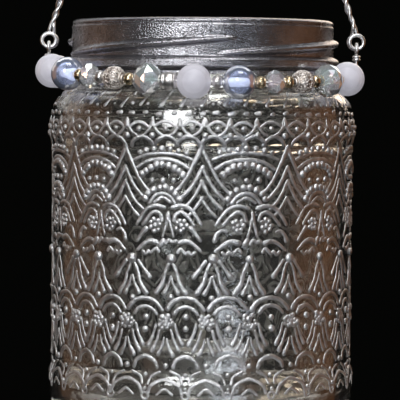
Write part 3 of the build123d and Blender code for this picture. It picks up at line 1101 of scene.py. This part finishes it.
# ---- tealight
CUP_R = 19.0
CUP_Z = 6.02
CUP_H = 15.5
CUP_WALL = 0.4
WAX_TOP = CUP_Z + CUP_WALL + 12.5
WICK_TOP = WAX_TOP + 8.0
BRAID_R = 0.42
PLY_R = 0.47
BRAID_POINTS = 70
RIBS = 48
RIB_DEPTH = 0.09


def cup_shape(azimuth, r, z):
    """Fine upright ribs on the cup's wall."""
    if r < CUP_R - 2 or z < CUP_Z + 1.2 or z > CUP_Z + CUP_H - 1.5:
        return r, z
    return r - RIB_DEPTH * (0.5 + 0.5 * cos(RIBS * azimuth)), z


ALUMINIUM = matter("aluminium", (0.62, 0.62, 0.63), (0.82, 0.82, 0.83), 0.22, 0.38, 500, 0.00005, Metallic=1.0)
WAX = matter(
    "wax", (0.80, 0.78, 0.73), (0.88, 0.87, 0.83), 0.42, 0.56, 120, 0.0002,
    Subsurface_Weight=0.3, Subsurface_Scale=0.002, Subsurface_Radius=(1.0, 0.95, 0.9),
)
COTTON = matter("cotton", (0.62, 0.59, 0.53), (0.88, 0.86, 0.8), 0.75, 0.9, 2500, 0.0001)
STEEL = matter("tab_steel", (0.42, 0.42, 0.43), (0.62, 0.62, 0.63), 0.3, 0.5, 700, 0.00004, Metallic=1.0)

cup_outline = [(0.0, CUP_Z), (8.0, CUP_Z), (15.0, CUP_Z)] + traced(
    (CUP_R - 1.0, CUP_Z),
    ((CUP_R - 0.29, CUP_Z + 0.29), (CUP_R, CUP_Z + 1.0), 5),
    ((CUP_R, CUP_Z + CUP_H - 1.2), 1.2),
    ((CUP_R + 0.42, CUP_Z + CUP_H - 0.62), (CUP_R - 0.05, CUP_Z + CUP_H), 7),
    ((CUP_R - 0.35, CUP_Z + CUP_H - 0.15), (CUP_R - CUP_WALL, CUP_Z + CUP_H - 0.5), 4),
    ((CUP_R - CUP_WALL, CUP_Z + 1.2), 2.5),
    ((CUP_R - CUP_WALL - 0.8, CUP_Z + CUP_WALL), 2),
    ((0.0, CUP_Z + CUP_WALL), 4),
)
foil = piece("tealight_foil", turned(cup_outline, RIBS * 6, cup_shape), ALUMINIUM)
place(foil, "tealight", "thin_aluminium", "tealight_cup")

wax_r = CUP_R - CUP_WALL - 0.1
wax_low = CUP_Z + CUP_WALL + 0.02
wax_outline = [(0.0, wax_low), (wax_r - 0.8, wax_low)]
wax_outline += traced((wax_r, CUP_Z + 1.3), ((wax_r, WAX_TOP + 0.1), 2))
wax_outline += [(wax_r - 0.25, WAX_TOP - 0.12)]
wax_outline += traced((wax_r - 0.8, WAX_TOP - 0.3), ((6.0, WAX_TOP - 0.45), 1.2))
WAX_MIDDLE = (  # radii and rises of the dip round the wick
    (4.5, -0.6), (3.2, -0.75), (2.2, -0.7), (1.5, -0.35), (1.05, 0.15), (0.7, 0.3), (0.0, 0.3),
)
wax_outline += [(r, WAX_TOP + rise) for r, rise in WAX_MIDDLE]


def wax_shape(azimuth, r, z):
    """The slight unevenness of poured wax."""
    if z > WAX_TOP - 1:
        z += 0.12 * noise.noise(Vector((r * sin(azimuth) * 0.18, r * cos(azimuth) * 0.18, 5.0)))
    return r, z


place(piece("tealight_candle", turned(wax_outline, 96, wax_shape), WAX), "tealight", "wax", "tealight_wax")

wick = Heap()
for k in range(3):
    braid = []
    for i in range(BRAID_POINTS):
        t = i / (BRAID_POINTS - 1)
        z = WAX_TOP - 1 + (WICK_TOP - WAX_TOP + 0.4) * t
        a = tau * (k / 3 + 3.2 * t)
        bow = 0.7 * max(0.0, t - 0.45) ** 2
        braid.append((BRAID_R * cos(a) + bow, BRAID_R * sin(a), z))
    wick.add(*tube(braid, PLY_R, 8))
place(piece("tealight_wick", wick.mesh(), COTTON), "tealight", "wick_cotton", "wick")
repaint("wick_tab", STEEL)

# ---- floor, light and camera
floor_material, _ = new_material("floor", (0.72, 0.71, 0.69), Roughness=0.6)
FLOOR_R = 58.0
FLOOR_DEPTH = 6.0
FLOOR_EDGE = 0.6
floor_outline = [
    (0.0, -FLOOR_DEPTH), (FLOOR_R, -FLOOR_DEPTH), (FLOOR_R, -FLOOR_EDGE), (FLOOR_R - FLOOR_EDGE, 0.0), (0.0, 0.0),
]
floor = piece("floor", turned(floor_outline, 128), floor_material, smooth=False)

world = bpy.data.worlds.new("studio")
bpy.context.scene.world = world
world.use_nodes = True
world.node_tree.nodes["Background"].inputs["Color"].default_value = (0.0014, 0.0015, 0.0013, 1)


def softbox(name, at, size, watts, colour=(1, 1, 1), aim=(0, 0, 70)):
    """A rectangular light, sizes and places in millimetres."""
    data = bpy.data.lights.new(name, "AREA")
    data.shape = "RECTANGLE"
    data.size, data.size_y = size[0] * MM, size[1] * MM
    data.energy = watts
    data.color = colour
    lamp = bpy.data.objects.new(name, data)
    lamp.location = Vector(at) * MM
    lamp.rotation_euler = (Vector(aim) - Vector(at)).to_track_quat("-Z", "Y").to_euler()
    lamp.visible_camera = False
    bpy.context.scene.collection.objects.link(lamp)


softbox("key", (-200, -640, 330), (230, 300), 3.1, (0.97, 0.985, 1.0), aim=(0, 0, 60))
softbox("low", (240, -560, -85), (260, 90), 0.36, (0.84, 0.9, 1.0), aim=(0, 0, 15))
softbox("top", (50, -230, 560), (240, 160), 1.3, aim=(0, 0, 95))
softbox("over", (0, 300, 520), (800, 260), 0.9, (0.95, 0.97, 1.0), aim=(0, 0, 100))
softbox("left", (-560, 120, 150), (520, 560), 0.17, (1.0, 0.50, 0.24))
softbox("right", (560, 60, 150), (520, 560), 0.24, (1.0, 0.43, 0.16))
softbox("rim", (-430, 400, 330), (500, 300), 0.22, (1.0, 0.97, 0.93), aim=(0, 0, 95))
softbox("back", (160, 560, 330), (420, 300), 1.1, (1.0, 0.82, 0.66))

camera_data = bpy.data.cameras.new("camera")
camera_data.sensor_width = 36.0
camera_data.lens = 219.0
camera_data.clip_start = 0.01
camera = bpy.data.objects.new("camera", camera_data)
bpy.context.scene.collection.objects.link(camera)
bpy.context.scene.camera = camera
CAMERA_AT = Vector((0.0, -0.733, 0.097))
AIM = Vector((-0.0005, 0.0, 0.0653))
ROLL = radians(0.4)
look = (AIM - CAMERA_AT).to_track_quat("-Z", "Y").to_matrix() @ Matrix.Rotation(ROLL, 3, "Z")
camera.location = CAMERA_AT
camera.rotation_euler = look.to_euler()

view = bpy.context.scene.view_settings
view.view_transform = "Standard"
